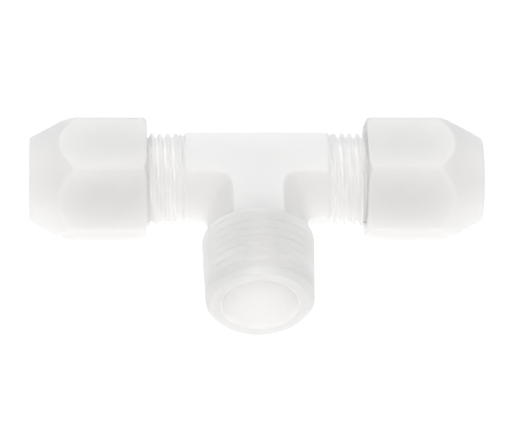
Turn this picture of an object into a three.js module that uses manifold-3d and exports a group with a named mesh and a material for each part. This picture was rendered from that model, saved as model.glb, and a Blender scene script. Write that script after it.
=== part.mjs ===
// Compression tee for 12 mm tube: two tube ports in line and one taper-threaded male branch.
// Millimetres. X is the run through both tube ports, -Y is the branch, +Z is up.
import * as THREE from "three";
import { mergeVertices } from "three/addons/utils/BufferGeometryUtils.js";
import Module from "manifold-3d";

const wasm = await Module();
wasm.setup();

// ---------------------------------------------------------------- driving dimensions
const tubeDiameter = 12;
const waterwayRadius = 4.5;
const tubeClearance = 0.15; // between the tube and every bore that guides it
const pieceGap = 0.3; // between pieces that rest on each other

const runThread = {
  depth: 0.95,
  pitch: 1.5,
  crestFlat: 0.2,
  flankSlope: Math.tan(THREE.MathUtils.degToRad(30)),
  radialClearance: 0.2,
  flankClearance: 0.12,
  segments: 20,
};

const stub = {
  wall: 1.8, // between the tube socket and the root of the thread
  length: 15.6, // beyond the end of the bar
  socketDepth: 10.1, // from the seat to where the tube's end rests
  seatDepth: 2.4,
  seatFlare: 1.45, // how much wider than the socket the seat's mouth is
  leadChamfer: 0.8,
};

// The body is a tee of hexagonal bars.
const bar = {
  flatsBelowCrest: 0.6, // from the crest of the run thread in to the bar's flats
  filletRadius: 3.5, // where the sides of the run meet the sides of the branch
  endLand: 0.8, // flat side beyond the fillet, along the run
  neckLand: 2.3, // flat side beyond the fillet, along the branch
};

const branch = {
  threadLength: 15,
  crestRadius: 10.22, // at the mouth
  depth: 1.16,
  pitch: 1.814,
  crestFlat: 0.25,
  flankSlope: Math.tan(THREE.MathUtils.degToRad(27.5)),
  taper: 1 / 32, // growth of radius per length, towards the run
  leadLength: 1.0,
  boreRadius: 7.0,
  boreDepth: 12.5,
  neckBoreRadius: 5.0,
  neckConeLength: 2.5,
  segments: 24,
};

const nut = {
  wall: 1.9, // between the root of its thread and its flats
  noseWall: 1.65, // round the tube bore at the nose
  cornerTrim: 0.25, // turned off the corners of the hexagon
  exposedThread: 7.0, // from the bar's end to the nut, as stored
  threadRunOut: 1.05, // thread beyond the stub's end with the nut tight
  guideLength: 3.55, // tube bore at the nose
  coneAngle: THREE.MathUtils.degToRad(28),
  backChamfer: 0.5,
  entryChamfer: 0.6,
  borePlay: 0.15, // extra radius of the tube bore over the guiding bores
};

// The ferrule and the grip ring, which go in through the nut's thread
const clamp = {
  entryClearance: 0.25, // to the crests of the nut's thread
  tightenTurns: 1.5, // left on the thread before the ferrule's cone seats
  noseWall: 0.45,
  ferruleLength: 4.2,
  ringCollar: 1.4,
  ringConeLength: 2.0,
  ringConeAngle: THREE.MathUtils.degToRad(30),
  ringSplit: 1.4,
  toothCount: 3,
  toothHeight: 0.25,
  toothPitch: 1.0,
  toothStart: 0.3, // where each tooth starts, peaks and ends, as shares of its pitch
  toothPeak: 0.4,
  toothEnd: 0.9,
};

const roundSegments = 24;
const coneSegments = 48;
const cutMargin = 1; // how far a cutting solid runs past the face it opens

// ---------------------------------------------------------------- radii and widths that follow
const hexagonRadius = (acrossFlats) => acrossFlats / Math.sqrt(3);
const tubeBore = tubeDiameter / 2 + tubeClearance;
const rootRadius = tubeBore + stub.wall;
const crestRadius = rootRadius + runThread.depth;
const seatRadius = tubeBore + stub.seatFlare;
const barAcrossFlats = 2 * (crestRadius - bar.flatsBelowCrest);
const barCorner = hexagonRadius(barAcrossFlats);
const nutRootRadius = crestRadius + runThread.radialClearance;
const nutCrestRadius = nutRootRadius - runThread.depth;
const nutAcrossFlats = 2 * (nutRootRadius + nut.wall);
const nutCorner = hexagonRadius(nutAcrossFlats) - nut.cornerTrim;
const nutBore = tubeBore + nut.borePlay;
const noseRadius = nutBore + nut.noseWall;
const clampRadius = nutCrestRadius - clamp.entryClearance;
const chamberRadius = clampRadius + pieceGap;

// ---------------------------------------------------------------- places along the branch, from the run axis
const branchStart = barCorner + bar.filletRadius + bar.neckLand;
const mouth = branchStart + branch.threadLength;

// ---------------------------------------------------------------- places along a tube port, from the branch axis
const barEnd = barCorner + bar.filletRadius + bar.endLand;
const stubEnd = barEnd + stub.length;
const seatStart = stubEnd - stub.seatDepth;
const socketStop = seatStart - stub.socketDepth;
const seatSlope = stub.seatFlare / stub.seatDepth;
const tightenTravel = clamp.tightenTurns * runThread.pitch;
const seatGap = tightenTravel + pieceGap;
const noseStart = seatStart + seatGap + clamp.noseWall / seatSlope;
const ferruleShoulder = seatStart + seatGap + (clampRadius - tubeBore) / seatSlope;
const ferruleEnd = noseStart + clamp.ferruleLength;
const ringStart = ferruleEnd + pieceGap;
const ringConeStart = ringStart + clamp.ringCollar;
const ringEnd = ringConeStart + clamp.ringConeLength;
const ringSlope = Math.tan(clamp.ringConeAngle);
const nutFace = barEnd + nut.exposedThread;
const nutThreadEnd = stubEnd + tightenTravel + nut.threadRunOut;
const nutConeShift = pieceGap / Math.sin(clamp.ringConeAngle);
const nutConeStart = ringConeStart + nutConeShift - (chamberRadius - clampRadius) / ringSlope;
const nutConeEnd = ringConeStart + nutConeShift + (clampRadius - nutBore) / ringSlope;
const nutTip = nutConeEnd + nut.guideLength;

// ---------------------------------------------------------------- solids
function solidFrom(geometry) {
  const bare = geometry.clone();
  bare.deleteAttribute("normal");
  bare.deleteAttribute("uv");
  const merged = mergeVertices(bare, 1e-5);
  const index = merged.index.array;
  const triangles = [];
  for (let i = 0; i < index.length; i += 3) {
    const [a, b, c] = [index[i], index[i + 1], index[i + 2]];
    if (a !== b && b !== c && c !== a) triangles.push(a, b, c);
  }
  return new wasm.Manifold(new wasm.Mesh({
    numProp: 3,
    vertProperties: new Float32Array(merged.attributes.position.array),
    triVerts: new Uint32Array(triangles),
  }));
}

function geometryFrom(solid) {
  const mesh = solid.getMesh();
  const geometry = new THREE.BufferGeometry();
  geometry.setAttribute("position", new THREE.BufferAttribute(new Float32Array(mesh.vertProperties), 3));
  geometry.setIndex(new THREE.BufferAttribute(new Uint32Array(mesh.triVerts), 1));
  geometry.computeVertexNormals();
  return geometry;
}

// Solids of revolution and threads are made along +Z, then laid along the port they belong to.
const alongRun = (geometry) => geometry.rotateY(Math.PI / 2);
const alongOtherRun = (geometry) => geometry.rotateY(Math.PI / 2).rotateZ(Math.PI);
const alongBranch = (geometry) => geometry.rotateX(Math.PI / 2);

// profile: [radius, height] points that start and end on the axis, or close on themselves
function revolve(profile, segments = roundSegments) {
  const points = profile.map(([radius, height]) => new THREE.Vector2(radius, height));
  return new THREE.LatheGeometry(points, segments).rotateX(Math.PI / 2);
}

// Ring of the given closed section, listed anticlockwise with radius across and height up
function revolveRing(section, segments = roundSegments) {
  return revolve([...section, section[0]], segments);
}

// Hexagonal bar along +Z; laid along the run, two of its flats face up and down
function hexagonBar(acrossFlats, from, to) {
  const radius = hexagonRadius(acrossFlats);
  return new THREE.CylinderGeometry(radius, radius, to - from, 6)
    .rotateX(Math.PI / 2)
    .translate(0, 0, (from + to) / 2);
}

// Corners of one thread ridge and the root after it, as [offset along the axis, radius]
function ridge(crest, { depth, pitch, crestFlat, flankSlope }, radialGrowth = 0, flankGrowth = 0) {
  const halfCrest = crestFlat / 2 + flankGrowth - radialGrowth * flankSlope;
  const halfRoot = Math.min(halfCrest + depth * flankSlope, pitch / 2);
  const top = crest + radialGrowth;
  return [[-halfRoot, top - depth], [-halfCrest, top], [halfCrest, top], [halfRoot, top - depth]];
}

// Closed right-handed threaded rod along +Z. One column of corners per step round the axis,
// each lifted by its share of the pitch, so the last column joins the first one turn higher.
function threadedRod(corners, { pitch, segments, taper = 0 }, from, to) {
  const firstTurn = Math.floor(from / pitch) - 1;
  const turns = Math.ceil(to / pitch) + 1 - firstTurn;
  const rows = turns * corners.length;
  const positions = [];
  for (let column = 0; column < segments; column += 1) {
    const angle = (column / segments) * 2 * Math.PI;
    for (let row = 0; row < rows; row += 1) {
      const [offset, radius] = corners[row % corners.length];
      const turn = firstTurn + Math.floor(row / corners.length) + column / segments;
      const height = turn * pitch + offset;
      const reach = radius - height * taper;
      positions.push(reach * Math.cos(angle), reach * Math.sin(angle), height);
    }
  }
  const at = (column, row) => (column === segments ? row + corners.length : column * rows + row);
  const lowCentre = segments * rows;
  const highCentre = lowCentre + 1;
  positions.push(0, 0, firstTurn * pitch, 0, 0, (firstTurn + turns) * pitch);
  const index = [];
  for (let column = 0; column < segments; column += 1) {
    const top = column === segments - 1 ? rows - 1 - corners.length : rows - 1;
    for (let row = 0; row < top; row += 1) {
      const [a, b] = [at(column, row), at(column + 1, row)];
      const [c, d] = [at(column + 1, row + 1), at(column, row + 1)];
      index.push(a, b, c, a, c, d);
    }
    index.push(lowCentre, at(column + 1, 0), at(column, 0));
    if (column < segments - 1) index.push(highCentre, at(column, rows - 1), at(column + 1, rows - 1));
  }
  for (let row = 0; row < corners.length; row += 1) {
    index.push(lowCentre, at(0, row), at(0, row + 1));
    const below = rows - 1 - corners.length + row;
    index.push(highCentre, at(segments - 1, below + 1), at(segments - 1, below));
  }
  index.push(highCentre, at(segments - 1, rows - 1 - corners.length), at(0, rows - 1));
  const geometry = new THREE.BufferGeometry();
  geometry.setAttribute("position", new THREE.Float32BufferAttribute(positions, 3));
  geometry.setIndex(index);
  return geometry;
}

// ---------------------------------------------------------------- tee body
// Concave fillet between the run's side and the branch's side, from mid-height up to the top flat.
// The sides lean inwards, so the fillet is sheared to stay in the corner between them.
function cornerFillet() {
  const radius = bar.filletRadius;
  const height = barAcrossFlats / 2;
  const lean = Math.tan(THREE.MathUtils.degToRad(30));
  const web = new THREE.Shape();
  web.moveTo(-cutMargin, cutMargin);
  web.lineTo(-cutMargin, -radius);
  web.lineTo(0, -radius);
  web.absarc(radius, -radius, radius, Math.PI, Math.PI / 2, true);
  web.lineTo(radius, cutMargin);
  web.closePath();
  return new THREE.ExtrudeGeometry(web, { depth: height, bevelEnabled: false, curveSegments: 6 })
    .applyMatrix4(new THREE.Matrix4().makeShear(0, 0, 0, 0, -lean, lean))
    .translate(barCorner, -barCorner, 0);
}

function barTee() {
  const run = solidFrom(alongRun(hexagonBar(barAcrossFlats, -barEnd, barEnd)));
  const neckBar = hexagonBar(barAcrossFlats, 0, branchStart).rotateZ(Math.PI / 2);
  const neck = solidFrom(alongBranch(neckBar));
  const fillet = solidFrom(cornerFillet());
  const upperFillets = fillet.add(fillet.mirror([1, 0, 0]));
  return run.add(neck).add(upperFillets).add(upperFillets.mirror([0, 0, 1]));
}

function threadedStub(lay) {
  const rod = threadedRod(ridge(crestRadius, runThread), runThread, barEnd - cutMargin, stubEnd);
  const envelope = revolve([
    [0, barEnd - cutMargin],
    [rootRadius, barEnd - cutMargin],
    [rootRadius, barEnd],
    [crestRadius + cutMargin, barEnd],
    [crestRadius + cutMargin, stubEnd - stub.leadChamfer - cutMargin],
    [crestRadius - stub.leadChamfer, stubEnd],
    [0, stubEnd],
  ]);
  return solidFrom(lay(rod)).intersect(solidFrom(lay(envelope)));
}

function threadedBranch() {
  const axisRadius = branch.crestRadius + branch.taper * mouth; // crest, carried on to the run axis
  const startRadius = branch.crestRadius + branch.taper * branch.threadLength;
  const leadSlope = branch.depth / branch.leadLength;
  const rod = threadedRod(ridge(axisRadius, branch), branch, branchStart, mouth);
  const envelope = revolve([
    [0, branchStart],
    [startRadius - branch.depth / 2, branchStart],
    [axisRadius, branchStart + branch.depth / 2 + axisRadius - startRadius],
    [axisRadius, mouth - branch.leadLength - (axisRadius - branch.crestRadius) / leadSlope],
    [branch.crestRadius - branch.depth, mouth],
    [0, mouth],
  ], branch.segments);
  return solidFrom(alongBranch(rod)).intersect(solidFrom(alongBranch(envelope)));
}

function runBore(lay) {
  return solidFrom(lay(revolve([
    [0, 0],
    [waterwayRadius, 0],
    [waterwayRadius, socketStop],
    [tubeBore, socketStop],
    [tubeBore, seatStart],
    [seatRadius, stubEnd],
    [seatRadius + seatSlope * cutMargin, stubEnd + cutMargin],
    [0, stubEnd + cutMargin],
  ])));
}

function branchBore() {
  const boreEnd = mouth - branch.boreDepth;
  return solidFrom(alongBranch(revolve([
    [0, 0],
    [branch.neckBoreRadius, 0],
    [branch.neckBoreRadius, boreEnd - branch.neckConeLength],
    [branch.boreRadius, boreEnd],
    [branch.boreRadius, mouth + cutMargin],
    [0, mouth + cutMargin],
  ])));
}

function teeBody() {
  return barTee()
    .add(threadedStub(alongRun))
    .add(threadedStub(alongOtherRun))
    .add(threadedBranch())
    .subtract(runBore(alongRun))
    .subtract(runBore(alongOtherRun))
    .subtract(branchBore());
}

// ---------------------------------------------------------------- pieces of one tube port, made along +X
function unionNut() {
  const hexagon = hexagonBar(nutAcrossFlats, nutFace, nutTip);
  const coneLength = (nutCorner - noseRadius) / Math.tan(nut.coneAngle);
  const outside = revolve([
    [0, nutFace],
    [nutCorner - nut.backChamfer, nutFace],
    [nutCorner, nutFace + nut.backChamfer],
    [nutCorner, nutTip - coneLength],
    [noseRadius, nutTip],
    [0, nutTip],
  ], coneSegments);
  const groove = ridge(crestRadius, runThread, runThread.radialClearance, runThread.flankClearance);
  const threadCutter = threadedRod(groove, runThread, nutFace, nutThreadEnd);
  const threadSpan = revolve([
    [0, nutFace - cutMargin],
    [nutRootRadius + cutMargin, nutFace - cutMargin],
    [nutRootRadius + cutMargin, nutThreadEnd],
    [0, nutThreadEnd],
  ]);
  const countersink = revolve([
    [0, nutFace - cutMargin],
    [nutRootRadius + cutMargin, nutFace - cutMargin],
    [nutCrestRadius, nutFace + runThread.depth],
    [0, nutFace + runThread.depth],
  ]);
  const chamber = revolve([
    [0, nutThreadEnd - cutMargin],
    [chamberRadius, nutThreadEnd - cutMargin],
    [chamberRadius, nutConeStart],
    [nutBore, nutConeEnd],
    [nutBore, nutTip - nut.entryChamfer],
    [nutBore + nut.entryChamfer + cutMargin, nutTip + cutMargin],
    [0, nutTip + cutMargin],
  ]);
  const thread = solidFrom(alongRun(threadCutter)).intersect(solidFrom(alongRun(threadSpan)));
  return solidFrom(alongRun(hexagon))
    .intersect(solidFrom(alongRun(outside)))
    .subtract(thread)
    .subtract(solidFrom(alongRun(countersink)))
    .subtract(solidFrom(alongRun(chamber)));
}

function ferrule() {
  return solidFrom(alongRun(revolveRing([
    [tubeBore, noseStart],
    [tubeBore + clamp.noseWall, noseStart],
    [clampRadius, ferruleShoulder],
    [clampRadius, ferruleEnd],
    [tubeBore, ferruleEnd],
  ])));
}

// Ring with saw teeth inside and a slit through its upper side
function gripRing() {
  const ringBore = tubeBore + clamp.toothHeight;
  const section = [
    [ringBore, ringStart],
    [clampRadius, ringStart],
    [clampRadius, ringConeStart],
    [clampRadius - clamp.ringConeLength * ringSlope, ringEnd],
    [ringBore, ringEnd],
  ];
  for (let tooth = clamp.toothCount - 1; tooth >= 0; tooth -= 1) {
    const root = ringStart + tooth * clamp.toothPitch;
    section.push([ringBore, root + clamp.toothPitch * clamp.toothEnd]);
    section.push([tubeBore, root + clamp.toothPitch * clamp.toothPeak]);
    section.push([ringBore, root + clamp.toothPitch * clamp.toothStart]);
  }
  const ring = solidFrom(alongRun(revolveRing(section)));
  const length = ringEnd - ringStart + 2 * cutMargin;
  const slit = new THREE.BoxGeometry(length, clamp.ringSplit, 2 * clampRadius)
    .translate(ringStart - cutMargin + length / 2, 0, clampRadius);
  return ring.subtract(solidFrom(slit));
}

// ---------------------------------------------------------------- assembly
function plastic(color, roughness) {
  return new THREE.MeshStandardMaterial({ color, roughness, metalness: 0 });
}

function piece(name, solid, material) {
  const mesh = new THREE.Mesh(geometryFrom(solid), material);
  mesh.name = name;
  return mesh;
}

function tubePort(side) {
  const port = new THREE.Group();
  port.add(piece(`ferrule_${side}`, ferrule(), plastic(0xf4f4f2, 0.5)));
  port.add(piece(`grip_ring_${side}`, gripRing(), plastic(0xf6f6f4, 0.45)));
  port.add(piece(`union_nut_${side}`, unionNut(), plastic(0xeeeeec, 0.5)));
  return port;
}

const tee = new THREE.Group();
tee.add(piece("tee_body", teeBody(), plastic(0xf0f0ee, 0.5)));
tee.add(tubePort("right"));
const leftPort = tubePort("left");
leftPort.rotation.z = Math.PI;
tee.add(leftPort);

// The origin is the middle of the fitting's outline on the surface that the nuts rest on.
tee.position.set(0, (mouth - nutCorner) / 2, nutAcrossFlats / 2);

export default tee;
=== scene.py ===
"""Looks of a compression tee fitting in natural translucent plastic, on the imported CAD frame.

Pieces are made in millimetres along their port's own axis and then laid in the frame, in metres.
"""
import math

import bpy
import numpy as np
from mathutils import Matrix, Vector


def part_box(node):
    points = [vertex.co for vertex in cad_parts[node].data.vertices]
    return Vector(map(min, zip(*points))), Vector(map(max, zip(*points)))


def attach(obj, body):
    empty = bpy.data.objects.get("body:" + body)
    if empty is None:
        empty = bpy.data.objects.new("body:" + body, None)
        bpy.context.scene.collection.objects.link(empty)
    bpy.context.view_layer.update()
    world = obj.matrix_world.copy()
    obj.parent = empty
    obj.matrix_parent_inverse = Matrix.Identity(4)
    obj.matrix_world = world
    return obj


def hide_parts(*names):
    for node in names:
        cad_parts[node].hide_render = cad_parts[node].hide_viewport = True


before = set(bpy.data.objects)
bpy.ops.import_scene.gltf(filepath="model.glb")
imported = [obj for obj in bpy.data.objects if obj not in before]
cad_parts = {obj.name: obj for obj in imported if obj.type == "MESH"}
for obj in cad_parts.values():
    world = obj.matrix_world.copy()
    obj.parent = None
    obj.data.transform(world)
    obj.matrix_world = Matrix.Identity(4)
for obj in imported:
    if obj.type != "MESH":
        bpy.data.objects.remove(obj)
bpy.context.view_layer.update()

MM = 0.001
TAU = 2 * math.pi
SIDES = {"right": 1, "left": -1}


# ---------------------------------------------------------------- places, read from the frame
def in_mm(corner):
    return np.array(corner) / MM


nut_low, nut_high = map(in_mm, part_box("union_nut_right"))
body_low, body_high = map(in_mm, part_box("tee_body"))
ferrule_low, ferrule_high = map(in_mm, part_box("ferrule_right"))
ring_low, ring_high = map(in_mm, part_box("grip_ring_right"))

run_y = (nut_low[1] + nut_high[1]) / 2
run_z = (nut_low[2] + nut_high[2]) / 2
nut_face, nut_tip = nut_low[0], nut_high[0]
nut_flats = nut_high[2] - nut_low[2]
nut_corners = nut_high[1] - nut_low[1]
stub_end = body_high[0]
mouth = run_y - body_low[1]
clamp_radius = (ferrule_high[2] - ferrule_low[2]) / 2

# ---------------------------------------------------------------- sizes of the detail, millimetres
TUBE_BORE = 6.15
WATERWAY = 4.5

BAR_FLATS = 16.6
BAR_HALF = 13.884
BAR_EDGE = 0.55
BAR_END_EDGE = 0.7
BAR_FILLET = 3.5

RUN_PITCH = 1.5
RUN_SHIFT = 0.6
RUN_CREST = 8.9
RUN_DEPTH = 0.95
RUN_LAND = 0.06
RUN_COLLAR = 1.0
SOCKET_STOP = 16.984
SEAT_DEPTH = 2.4
SEAT_RADIUS = 7.6
SEAT_SLOPE = (SEAT_RADIUS - TUBE_BORE) / SEAT_DEPTH

BRANCH_START = 15.384
BRANCH_PITCH = 1.814
BRANCH_CREST = 10.22
BRANCH_TAPER = 1 / 32
BRANCH_DEPTH = 1.16
BRANCH_RELIEF = 0.8
BRANCH_LAND = 0.13
BRANCH_BORE = 7.0
BRANCH_BORE_DEPTH = 12.5
NECK_BORE = 5.0
NECK_CONE = 2.5

NUT_EDGE = 0.6
NUT_NOSE = 7.95
NUT_NOSE_EDGE = 0.45
NUT_CONE = math.radians(28)
NUT_BACK_CHAMFER_RADIUS = 11.6
NUT_BACK_SLOPE = 0.577
NUT_GUIDE = 3.55
NUT_THREAD = 11.9
NUT_PLAY = 0.2
NUT_LAND = 0.13

CLAMP_CONE = math.radians(30)
RING_CONE = 2.0
RING_SPLIT = 1.4
RING_TEETH = 3

# a gap of a size that only keeps a cutting body past the face it opens
PAST = 1.0

ROUND_STEPS = 144


# ---------------------------------------------------------------- mesh helpers
def make_object(name, verts, faces, to_frame):
    """A mesh object from points in millimetres, laid in the frame by a matrix to metres."""
    mesh = bpy.data.meshes.new(name)
    points = np.c_[np.asarray(verts, float), np.ones(len(verts))] @ np.array(to_frame).T
    mesh.from_pydata(points[:, :3].tolist(), [], faces)
    mesh.validate()
    piece = bpy.data.objects.new(name, mesh)
    bpy.context.scene.collection.objects.link(piece)
    return piece


def port_matrix(side):
    """Local +Z along a tube port, local +X up."""
    turn = Matrix.Rotation(math.pi if side < 0 else 0, 4, "Z")
    lay = Matrix.Rotation(math.pi / 2, 4, "Y")
    return Matrix.Translation((0, run_y * MM, run_z * MM)) @ turn @ lay @ Matrix.Scale(MM, 4)


def branch_matrix():
    """Local +Z along the branch, which points to -Y."""
    lay = Matrix.Rotation(math.pi / 2, 4, "X")
    return Matrix.Translation((0, run_y * MM, run_z * MM)) @ lay @ Matrix.Scale(MM, 4)


def centre_matrix():
    return Matrix.Translation((0, run_y * MM, run_z * MM)) @ Matrix.Scale(MM, 4)


def quads(rows, columns, closed_rows):
    """Faces of a grid whose columns close on themselves, and whose rows do if asked."""
    faces = []
    for row in range(rows if closed_rows else rows - 1):
        above = (row + 1) % rows
        for column in range(columns):
            beside = (column + 1) % columns
            faces.append((
                row * columns + column,
                row * columns + beside,
                above * columns + beside,
                above * columns + column,
            ))
    return faces


def smoothstep(low, high, value):
    t = np.clip((np.asarray(value, float) - low) / (high - low), 0, 1)
    return t * t * (3 - 2 * t)


def rounded(corners, steps=4):
    """The polyline through (x, y, radius) corners, with an arc in place of each corner.

    The first and last corners stay as they are.
    """
    points = [np.array(corners[0][:2], float)]
    for before, here, after in zip(corners, corners[1:], corners[2:]):
        p = np.array(here[:2], float)
        back = np.array(before[:2], float) - p
        ahead = np.array(after[:2], float) - p
        back_length, ahead_length = np.linalg.norm(back), np.linalg.norm(ahead)
        back, ahead = back / back_length, ahead / ahead_length
        half = math.acos(float(np.clip(back @ ahead, -1, 1))) / 2
        longest = 0.45 * min(back_length, ahead_length)
        setback = min(here[2] / max(math.tan(half), 1e-6), longest)
        start, end = p + back * setback, p + ahead * setback
        for step in range(steps + 1):
            t = step / steps
            # quadratic arc: tangent to both sides at its ends
            points.append((1 - t) ** 2 * start + 2 * t * (1 - t) * p + t**2 * end)
    points.append(np.array(corners[-1][:2], float))
    return np.array(points)


def lathe(name, section, to_frame, steps=ROUND_STEPS, closed=False):
    """Revolves (radius, height) points about local Z. Open sections start and end on the axis."""
    angles = np.arange(steps) / steps * TAU
    body = section if closed else section[1:-1]
    verts = [
        (radius * math.cos(a), radius * math.sin(a), height)
        for radius, height in body
        for a in angles
    ]
    faces = quads(len(body), steps, closed)
    if not closed:
        first, last = len(verts), len(verts) + 1
        verts += [(0, 0, section[0][1]), (0, 0, section[-1][1])]
        top = (len(body) - 1) * steps
        for column in range(steps):
            beside = (column + 1) % steps
            faces.append((first, beside, column))
            faces.append((last, top + column, top + beside))
    return make_object(name, verts, faces, to_frame)


def thread_groove(height, angle, pitch, land):
    """0 on a crest and 1 in a root of a right-handed thread with straight flanks."""
    turn = height / pitch - angle / TAU
    ramp = 1 - np.abs(2 * (turn - np.floor(turn)) - 1)
    return np.clip((ramp - land) / (1 - 2 * land), 0, 1)


def height_field(name, heights, radius_at, to_frame, steps=ROUND_STEPS):
    """Closed solid about local Z with radius_at(heights, angles) and flat ends."""
    angles = np.arange(steps) / steps * TAU
    grid_h, grid_a = np.meshgrid(heights, angles, indexing="ij")
    radii = radius_at(grid_h, grid_a)
    verts = np.stack([radii * np.cos(grid_a), radii * np.sin(grid_a), grid_h], -1).reshape(-1, 3)
    faces = quads(len(heights), steps, False)
    faces.append(tuple(reversed(range(steps))))
    last = (len(heights) - 1) * steps
    faces.append(tuple(range(last, last + steps)))
    return make_object(name, verts, faces, to_frame)


def boolean(target, others, operation):
    for other in others:
        cut = target.modifiers.new("cut", "BOOLEAN")
        cut.object = other
        cut.operation = operation
        cut.solver = "MANIFOLD"
    apply_modifiers(target)
    for other in others:
        bpy.data.objects.remove(other, do_unlink=True)


def apply_modifiers(piece):
    graph = bpy.context.evaluated_depsgraph_get()
    mesh = bpy.data.meshes.new_from_object(piece.evaluated_get(graph))
    piece.modifiers.clear()
    old = piece.data
    piece.data = mesh
    bpy.data.meshes.remove(old)


def smooth(piece, angle=60):
    """Smooth shading with flat faces kept flat and hard corners kept sharp."""
    bpy.context.view_layer.objects.active = piece
    mesh = piece.data
    mesh.shade_smooth()
    mesh.set_sharp_from_angle(angle=math.radians(angle))
    weighted = piece.modifiers.new("flats", "WEIGHTED_NORMAL")
    weighted.keep_sharp = True
    weighted.weight = 80


# ---------------------------------------------------------------- tee body
def bar_profile():
    """Right half of the bar's rounded hexagon, from the lower flat up: (half width, height)."""
    half = BAR_FLATS / 2
    corner = BAR_FLATS / math.sqrt(3)
    path = [
        (0, -half, 0),
        (corner / 2, -half, BAR_EDGE),
        (corner, 0, BAR_EDGE),
        (corner / 2, half, BAR_EDGE),
        (0, half, 0),
    ]
    return rounded(path, steps=6)[1:-1]


def tee_outline(half_width, inset):
    """Plan outline at one level, anticlockwise from the back left corner."""
    end = BAR_HALF - inset
    foot = -(BRANCH_START + 0.6)
    w = half_width
    corners = [
        (0, w, 0),
        (-end, w, BAR_END_EDGE),
        (-end, -w, BAR_END_EDGE),
        (-w, -w, BAR_FILLET),
        (-w, foot, 0.01),
        (w, foot, 0.01),
        (w, -w, BAR_FILLET),
        (end, -w, BAR_END_EDGE),
        (end, w, BAR_END_EDGE),
        (0, w, 0),
    ]
    return rounded(corners, steps=7)[:-1]


def make_bar_tee():
    levels = bar_profile()
    top = levels[-1][1]
    verts = []
    for half_width, height in levels:
        rise = max(abs(height) - (top - BAR_END_EDGE), 0)
        inset = BAR_END_EDGE - math.sqrt(max(BAR_END_EDGE**2 - rise**2, 0))
        verts += [(x, y, height) for x, y in tee_outline(half_width, inset)]
    count = len(verts) // len(levels)
    faces = quads(len(levels), count, False)
    faces.append(tuple(reversed(range(count))))
    faces.append(tuple(range(len(verts) - count, len(verts))))
    return make_object("tee_body_visual", verts, faces, centre_matrix())


def make_stub(side):
    start = BAR_HALF - 1.2
    threaded = np.arange(BAR_HALF - 0.2, stub_end, RUN_PITCH / 12)
    heights = np.r_[start, BAR_HALF - 0.4, threaded, stub_end]

    def radius(height, angle):
        full = smoothstep(BAR_HALF + 0.2, BAR_HALF + RUN_COLLAR + 0.4, height)
        ramp = thread_groove(height + RUN_SHIFT, angle, RUN_PITCH, RUN_LAND)
        groove = smoothstep(0, 1, ramp) * full * RUN_DEPTH
        lead = RUN_CREST - 0.9 + (stub_end - height)
        collar = BAR_FLATS / 2 - 0.1 + np.maximum(height - BAR_HALF, 0)
        return np.minimum(np.minimum(RUN_CREST - groove, lead), collar)

    return height_field(f"stub{side}", heights, radius, port_matrix(side))


def make_branch():
    heights = np.r_[
        BRANCH_START,
        np.arange(BRANCH_START + 0.15, mouth, BRANCH_PITCH / 20),
        mouth,
    ]

    def radius(height, angle):
        crest = BRANCH_CREST + (mouth - height) * BRANCH_TAPER
        relief = smoothstep(0.45, 0.92, np.abs(np.sin(angle)))
        groove = thread_groove(height, angle, BRANCH_PITCH, BRANCH_LAND) * BRANCH_RELIEF
        threaded = crest - groove
        plain = crest - 0.05
        wall = plain + (threaded - plain) * relief
        lead = BRANCH_CREST - BRANCH_DEPTH + 0.15 + (mouth - height) * 0.9
        foot = BRANCH_CREST + 0.1 + (height - BRANCH_START) * 1.2
        return np.minimum(np.minimum(wall, lead), foot)

    return height_field("branch_thread", heights, radius, branch_matrix(), steps=180)


def run_bore_section():
    """Right half of the run's bore, mirrored to the left by the caller."""
    seat_start = stub_end - SEAT_DEPTH
    return rounded([
        (WATERWAY, 0, 0),
        (WATERWAY, SOCKET_STOP, 0.3),
        (TUBE_BORE, SOCKET_STOP, 0.25),
        (TUBE_BORE, seat_start, 0.8),
        (SEAT_RADIUS + SEAT_SLOPE * PAST, stub_end + PAST, 0),
    ])


def make_run_bore():
    half = run_bore_section()
    section = [(0, -half[-1][1])]
    section += [(radius, -height) for radius, height in half[::-1]]
    section += [(radius, height) for radius, height in half[1:]]
    section.append((0, half[-1][1]))
    return lathe("run_bore", section, port_matrix(1), steps=96)


def make_branch_bore():
    bore_end = mouth - BRANCH_BORE_DEPTH
    section = rounded([
        (0, 0, 0),
        (NECK_BORE, 0, 0.01),
        (NECK_BORE, bore_end - NECK_CONE, 1.2),
        (BRANCH_BORE, bore_end, 1.2),
        (BRANCH_BORE, mouth - 0.3, 0.3),
        (BRANCH_BORE + 1.3, mouth + PAST, 0.01),
        (0, mouth + PAST, 0),
    ])
    return lathe("branch_bore", section, branch_matrix(), steps=120)


def make_tee_body():
    body = make_bar_tee()
    boolean(body, [make_stub(1), make_stub(-1), make_branch()], "UNION")
    boolean(body, [make_run_bore(), make_branch_bore()], "DIFFERENCE")
    smooth(body)
    return body


# ---------------------------------------------------------------- union nut
def hexagon_columns(across_flats, across_corners, edge, flat_steps=16, corner_steps=8):
    """(angle, radius) points round a hexagon with rounded corners. One flat faces local +X, up."""
    apothem = across_flats / 2
    corner = across_flats / math.sqrt(3)
    half_side = corner / 2 - edge * math.tan(math.radians(30))
    points = []
    for side in range(6):
        facing = side * TAU / 6
        for step in range(flat_steps):
            along = -half_side + 2 * half_side * step / flat_steps
            points.append((apothem, along, facing))
        centre = corner - edge / math.cos(math.radians(30))
        for step in range(corner_steps):
            turn = (step / corner_steps) * TAU / 6
            x = centre * math.cos(TAU / 12) + edge * math.cos(turn)
            y = centre * math.sin(TAU / 12) + edge * math.sin(turn)
            points.append((x, y, facing))
    widest = across_corners / 2
    return [
        (math.atan2(y, x) + facing, min(math.hypot(x, y), widest))
        for x, y, facing in points
    ]


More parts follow.
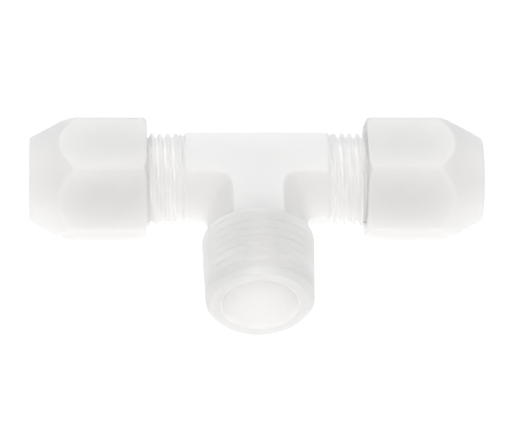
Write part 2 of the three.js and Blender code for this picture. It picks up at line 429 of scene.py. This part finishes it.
def nut_section(hex_radius):
    """The nut from its inner face round the nose and back to the start of the thread."""
    chamber = clamp_radius + 0.3
    bore = TUBE_BORE + 0.15
    cone_end = nut_tip - NUT_GUIDE
    cone_start = cone_end - (chamber - bore) / math.tan(CLAMP_CONE)
    turned = min(hex_radius - 0.12, NUT_BACK_CHAMFER_RADIUS)
    corners = [
        (RUN_CREST + 0.07, nut_face, 0),
        (turned, nut_face, 0.15),
        (hex_radius, nut_face + (hex_radius - turned) * NUT_BACK_SLOPE, 0.35),
        (hex_radius, nut_tip - (hex_radius - NUT_NOSE) / math.tan(NUT_CONE), 1.4),
        (NUT_NOSE, nut_tip, NUT_NOSE_EDGE),
        (bore + 0.6, nut_tip, 0.2),
        (bore, nut_tip - 0.6, 0.3),
        (bore, cone_end, 0.4),
        (chamber, cone_start, 0.4),
        (chamber, nut_face + NUT_THREAD, 0),
    ]
    return rounded(corners, steps=5)


def make_nut(name, side):
    columns = hexagon_columns(nut_flats, nut_corners, NUT_EDGE)
    thread_heights = np.arange(nut_face + NUT_THREAD - 0.1, nut_face + 0.25, -RUN_PITCH / 12)
    sections = []
    for angle, hex_radius in columns:
        outer = nut_section(hex_radius)
        groove = thread_groove(thread_heights + RUN_SHIFT, angle, RUN_PITCH, NUT_LAND)
        fade = smoothstep(0, 1.0, nut_face + NUT_THREAD - thread_heights)
        radii = RUN_CREST + NUT_PLAY - RUN_DEPTH * (groove * fade + (1 - fade))
        inner = np.c_[radii, thread_heights]
        sections.append(np.r_[outer, inner])
    rows = len(sections[0])
    verts = []
    for row in range(rows):
        for (angle, _), section in zip(columns, sections):
            radius, height = section[row]
            verts.append((radius * math.cos(angle), radius * math.sin(angle), height))
    piece = make_object(name, verts, quads(rows, len(columns), True), port_matrix(side))
    smooth(piece)
    return piece


# ---------------------------------------------------------------- ferrule and grip ring
def make_ferrule(name, side):
    low, high = ferrule_low[0], ferrule_high[0]
    nose = TUBE_BORE + 0.45
    shoulder = low + (clamp_radius - nose) / SEAT_SLOPE
    section = rounded([
        (TUBE_BORE, (low + high) / 2, 0),
        (TUBE_BORE, low, 0.12),
        (nose, low, 0.15),
        (clamp_radius, shoulder, 0.4),
        (clamp_radius, high, 0.2),
        (TUBE_BORE, high, 0.15),
        (TUBE_BORE, (low + high) / 2 + 0.1, 0),
    ])
    piece = lathe(name, section[::-1], port_matrix(side), steps=128, closed=True)
    smooth(piece)
    return piece


def make_grip_ring(name, side):
    low, high = ring_low[0], ring_high[0]
    bore = TUBE_BORE + 0.25
    nose = clamp_radius - RING_CONE * math.tan(CLAMP_CONE)
    corners = [
        (bore, low + 0.02, 0),
        (bore, low, 0.1),
        (clamp_radius, low, 0.15),
        (clamp_radius, high - RING_CONE, 0.3),
        (nose, high, 0.2),
        (bore, high, 0.1),
    ]
    for tooth in reversed(range(RING_TEETH)):
        root = low + tooth
        corners.append((bore, root + 0.9, 0.03))
        corners.append((TUBE_BORE, root + 0.4, 0.03))
        corners.append((bore, root + 0.3, 0.03))
    corners.append((bore, low + 0.05, 0))
    section = rounded(corners)[::-1]
    gap = math.asin(RING_SPLIT / 2 / clamp_radius)
    steps = 120
    angles = np.linspace(gap, TAU - gap, steps)
    verts = [
        (radius * math.cos(a), radius * math.sin(a), height)
        for radius, height in section
        for a in angles
    ]
    rows = len(section)
    faces = []
    for row in range(rows):
        above = (row + 1) % rows
        for column in range(steps - 1):
            faces.append((
                row * steps + column,
                row * steps + column + 1,
                above * steps + column + 1,
                above * steps + column,
            ))
    faces.append(tuple(row * steps for row in range(rows)))
    faces.append(tuple((rows - 1 - row) * steps + steps - 1 for row in range(rows)))
    piece = make_object(name, verts, faces, port_matrix(side))
    smooth(piece)
    return piece


# ---------------------------------------------------------------- materials
TRANSLUCENCE = 0.6
CLOUD_SCALE = 120
CLOUD_DIP = 0.975
GRAIN_SCALE = 1600
GRAIN_DEPTH = 0.05
# painted shade: a grey multiplied into the branch's outside, standing in for shade that falls
# there
BRANCH_SHADE_GREY = (0.74, 0.745, 0.75)
NUT_WARMTH = (0.95, 0.945, 0.938)


def tree_of(material):
    """The nodes, the links and the shader of a material."""
    tree = material.node_tree
    return tree.nodes, tree.links, tree.nodes["Principled BSDF"]


def natural_plastic(name, colour, depth, roughness, seed):
    """Milky moulded plastic: light scatters inside it, with faint clouding and a fine grain."""
    material = bpy.data.materials.new(name)
    material.use_nodes = True
    nodes, links, shader = tree_of(material)
    shader.subsurface_method = "RANDOM_WALK_SKIN"
    shader.inputs["IOR"].default_value = 1.49
    shader.inputs["Subsurface Weight"].default_value = TRANSLUCENCE
    shader.inputs["Subsurface Radius"].default_value = (1.0, 0.96, 0.92)
    shader.inputs["Subsurface Scale"].default_value = depth * MM
    shader.inputs["Specular IOR Level"].default_value = 0.4

    place = nodes.new("ShaderNodeTexCoord")
    cloud = nodes.new("ShaderNodeTexNoise")
    cloud.noise_dimensions = "4D"
    cloud.inputs["W"].default_value = seed
    cloud.inputs["Scale"].default_value = CLOUD_SCALE
    cloud.inputs["Detail"].default_value = 3
    links.new(place.outputs["Object"], cloud.inputs["Vector"])
    tint = nodes.new("ShaderNodeValToRGB")
    tint.color_ramp.elements[0].position = 0.3
    tint.color_ramp.elements[0].color = (*[c * CLOUD_DIP for c in colour], 1)
    tint.color_ramp.elements[1].position = 0.7
    tint.color_ramp.elements[1].color = (*colour, 1)
    links.new(cloud.outputs["Fac"], tint.inputs["Fac"])
    links.new(tint.outputs["Color"], shader.inputs["Base Color"])

    gloss = nodes.new("ShaderNodeMapRange")
    gloss.inputs["To Min"].default_value = roughness - 0.06
    gloss.inputs["To Max"].default_value = roughness + 0.08
    links.new(cloud.outputs["Fac"], gloss.inputs["Value"])
    links.new(gloss.outputs["Result"], shader.inputs["Roughness"])

    grain = nodes.new("ShaderNodeTexNoise")
    grain.inputs["Scale"].default_value = GRAIN_SCALE
    grain.inputs["Detail"].default_value = 4
    links.new(place.outputs["Object"], grain.inputs["Vector"])
    bump = nodes.new("ShaderNodeBump")
    bump.inputs["Strength"].default_value = 0.12
    bump.inputs["Distance"].default_value = GRAIN_DEPTH * MM
    links.new(grain.outputs["Fac"], bump.inputs["Height"])
    links.new(bump.outputs["Normal"], shader.inputs["Normal"])
    return material


def ramp_node(material, value, start, end):
    """0 at start and 1 at end of a value, held outside them."""
    nodes, links, _ = tree_of(material)
    ramp = nodes.new("ShaderNodeMapRange")
    ramp.inputs["From Min"].default_value = start
    ramp.inputs["From Max"].default_value = end
    links.new(value, ramp.inputs["Value"])
    return ramp.outputs["Result"]


def math_node(material, operation, *values):
    nodes, links, _ = tree_of(material)
    result = nodes.new("ShaderNodeMath")
    result.operation = operation
    for slot, value in enumerate(values):
        links.new(value, result.inputs[slot])
    return result.outputs["Value"]


def place_about_run(material):
    """The piece's own coordinates, in metres, from the middle of the run."""
    nodes, links, _ = tree_of(material)
    place = nodes.new("ShaderNodeTexCoord")
    axis = nodes.new("ShaderNodeMapping")
    axis.inputs["Location"].default_value = (0, -run_y * MM, -run_z * MM)
    links.new(place.outputs["Object"], axis.inputs["Vector"])
    parts = nodes.new("ShaderNodeSeparateXYZ")
    links.new(axis.outputs["Vector"], parts.inputs["Vector"])
    return axis.outputs["Vector"], parts.outputs


def tint_where(material, amount, colour):
    """Multiplies a plastic's colour by another one, as far as an amount from 0 to 1 says."""
    nodes, links, shader = tree_of(material)
    base = shader.inputs["Base Color"]
    blend = nodes.new("ShaderNodeMix")
    blend.data_type = "RGBA"
    blend.blend_type = "MULTIPLY"
    sockets = {socket.identifier: socket for socket in blend.inputs}
    results = {socket.identifier: socket for socket in blend.outputs}
    sockets["B_Color"].default_value = (*colour, 1)
    links.new(amount, sockets["Factor_Float"])
    links.new(base.links[0].from_socket, sockets["A_Color"])
    links.new(results["Result_Color"], base)


def shade_body(material):
    """Paints shade as a grey on the branch's outside, most in its middle away from its sides and
    at its lip, clears its bore, and makes the stubs less translucent.
    """
    nodes, links, shader = tree_of(material)
    vector, parts = place_about_run(material)
    across = nodes.new("ShaderNodeVectorMath")
    across.operation = "MULTIPLY"
    across.inputs[1].default_value = (1, 0, 1)
    links.new(vector, across.inputs[0])
    radius = nodes.new("ShaderNodeVectorMath")
    radius.operation = "LENGTH"
    links.new(across.outputs["Vector"], radius.inputs[0])
    sideways = math_node(material, "ABSOLUTE", parts["X"])

    def ramp(value, start, end):
        return ramp_node(material, value, start * MM, end * MM)

    outside = ramp(radius.outputs["Value"], BRANCH_BORE + 0.1, BRANCH_BORE + 0.5)
    along = ramp(parts["Y"], -4, -(BRANCH_START + 3))
    inside = ramp_node(material, outside, 1, 0)
    glow = math_node(material, "MULTIPLY", inside, along)
    stub = ramp(sideways, BAR_HALF - 0.5, BAR_HALF + 2)
    clear = math_node(material, "SUBTRACT", glow, ramp_node(material, stub, 0, 2))
    weight = nodes.new("ShaderNodeMapRange")
    weight.inputs["From Min"].default_value = -1
    weight.inputs["To Min"].default_value = 2 * TRANSLUCENCE - 1
    weight.inputs["To Max"].default_value = 1
    links.new(clear, weight.inputs["Value"])
    links.new(weight.outputs["Result"], shader.inputs["Subsurface Weight"])

    # painted shade: the branch's middle, away from its sides, and its lip by the mouth are greyed
    # for the shade between the ridges and for how the light falls on them
    crown = ramp(sideways, BRANCH_CREST, 3)
    crown_shade = ramp_node(material, crown, -0.6, 1.5)
    lip_shade = ramp(parts["Y"], 8 - mouth, 2 - mouth)
    painted_shade_amount = math_node(material, "MAXIMUM", crown_shade, lip_shade)
    shell = math_node(material, "MULTIPLY", outside, along)
    tint_where(material, math_node(material, "MULTIPLY", shell, painted_shade_amount), BRANCH_SHADE_GREY)


def tint_nut(material):
    """Warms and dims the nut's hexagon a little, and leaves the cone as it is."""
    _, parts = place_about_run(material)
    outward = math_node(material, "ABSOLUTE", parts["X"])
    cone = nut_tip - (nut_flats / 2 - NUT_NOSE) / math.tan(NUT_CONE)
    hexagon_zone = ramp_node(material, outward, (cone + 1.5) * MM, (cone - 2.5) * MM)
    tint_where(material, hexagon_zone, NUT_WARMTH)


# ---------------------------------------------------------------- assembly
def finish_piece(piece, body, node, material):
    piece.data.materials.clear()
    piece.data.materials.append(material)
    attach(piece, body)
    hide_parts(node)


def build_object():
    body_plastic = natural_plastic("body_plastic_look", (0.992, 0.99, 0.986), 48, 0.42, 1.0)
    nut_plastic = natural_plastic("nut_plastic_look", (0.988, 0.983, 0.975), 34, 0.45, 2.0)
    ferrule_plastic = natural_plastic("ferrule_plastic_look", (0.96, 0.96, 0.955), 15, 0.4, 3.0)
    ring_plastic = natural_plastic("ring_plastic_look", (0.96, 0.96, 0.955), 8, 0.35, 4.0)
    shade_body(body_plastic)
    tint_nut(nut_plastic)
    finish_piece(make_tee_body(), "tee", "tee_body", body_plastic)
    for side, sign in SIDES.items():
        nut = make_nut(f"union_nut_{side}_visual", sign)
        finish_piece(nut, f"nut_{side}", f"union_nut_{side}", nut_plastic)
        ferrule = make_ferrule(f"ferrule_{side}_visual", sign)
        clamp = f"clamp_{side}"
        finish_piece(ferrule, clamp, f"ferrule_{side}", ferrule_plastic)
        ring = make_grip_ring(f"grip_ring_{side}_visual", sign)
        finish_piece(ring, clamp, f"grip_ring_{side}", ring_plastic)


# ---------------------------------------------------------------- stage
CAMERA_AZIMUTH = math.radians(-3.83)
CAMERA_ELEVATION = math.radians(49.98)
CAMERA_ROLL = math.radians(2.91)
CAMERA_DISTANCE = 0.714
CAMERA_LENS = 261.2
AIM_RIGHT = 0.334 * MM
AIM_UP = -7.357 * MM

FLOOR_SIZE = 12.0
FLOOR_GREY = 0.35
FLOOR_GLOW = 0.88
LIGHT_AIM = Vector((0, 0, 0.01))
WARM_WHITE = (1, 0.97, 0.94)
COOL_WHITE = (0.97, 0.985, 1)
WORLD_STRENGTH = 0.02


def make_camera():
    a, e = CAMERA_AZIMUTH, CAMERA_ELEVATION
    back = Vector((math.sin(a) * math.cos(e), -math.cos(a) * math.cos(e), math.sin(e)))
    level = Vector((math.cos(a), math.sin(a), 0))
    upright = back.cross(level)
    right = math.cos(CAMERA_ROLL) * level + math.sin(CAMERA_ROLL) * upright
    up = back.cross(right)
    middle = Vector((0, run_y * MM, run_z * MM))
    place = middle + back * CAMERA_DISTANCE
    back = (place - middle - right * AIM_RIGHT - up * AIM_UP).normalized()
    right = up.cross(back).normalized()
    up = back.cross(right)
    data = bpy.data.cameras.new("camera")
    data.lens = CAMERA_LENS
    data.clip_start = 0.05
    data.clip_end = 20
    camera = bpy.data.objects.new("camera", data)
    turn = Matrix((right, up, back)).transposed().to_4x4()
    camera.matrix_world = Matrix.Translation(place) @ turn
    bpy.context.scene.collection.objects.link(camera)
    bpy.context.scene.camera = camera


def make_light(name, place, size, power, colour=(1, 1, 1)):
    """A soft box of a size in metres and a power in watts, turned to the part."""
    data = bpy.data.lights.new(name, "AREA")
    data.shape = "RECTANGLE"
    data.size, data.size_y = size
    data.energy = power
    data.color = colour
    lamp = bpy.data.objects.new(name, data)
    lamp.location = place
    lamp.rotation_euler = (LIGHT_AIM - Vector(place)).to_track_quat("-Z", "Y").to_euler()
    bpy.context.scene.collection.objects.link(lamp)


def floor_material():
    material = bpy.data.materials.new("floor_white")
    material.use_nodes = True
    shader = material.node_tree.nodes["Principled BSDF"]
    shader.inputs["Base Color"].default_value = (FLOOR_GREY, FLOOR_GREY, FLOOR_GREY, 1)
    shader.inputs["Roughness"].default_value = 0.9
    shader.inputs["Emission Color"].default_value = (1, 1, 1, 1)
    shader.inputs["Emission Strength"].default_value = FLOOR_GLOW
    return material


def make_stage():
    mesh = bpy.data.meshes.new("floor")
    half = FLOOR_SIZE / 2
    corners = [(-half, -half, 0), (half, -half, 0), (half, half, 0), (-half, half, 0)]
    mesh.from_pydata(corners, [], [(0, 1, 2, 3)])
    floor = bpy.data.objects.new("floor", mesh)
    bpy.context.scene.collection.objects.link(floor)
    floor.data.materials.append(floor_material())

    make_light("front_softbox", (-0.035, -0.668, 0.753), (0.5, 0.3), 6.4, WARM_WHITE)
    make_light("back_softbox", (0, 0.643, 0.776), (0.9, 0.5), 6.2, COOL_WHITE)
    for side in SIDES.values():
        make_light("side_fill", (side * 0.712, -0.191, 0.516), (0.5, 0.5), 0.6)
    world = bpy.data.worlds.new("studio")
    world.use_nodes = True
    background = world.node_tree.nodes["Background"]
    background.inputs["Color"].default_value = (1, 1, 1, 1)
    background.inputs["Strength"].default_value = WORLD_STRENGTH
    bpy.context.scene.world = world
    bpy.context.scene.view_settings.view_transform = "Standard"


build_object()
make_stage()
make_camera()
bpy.context.view_layer.update()
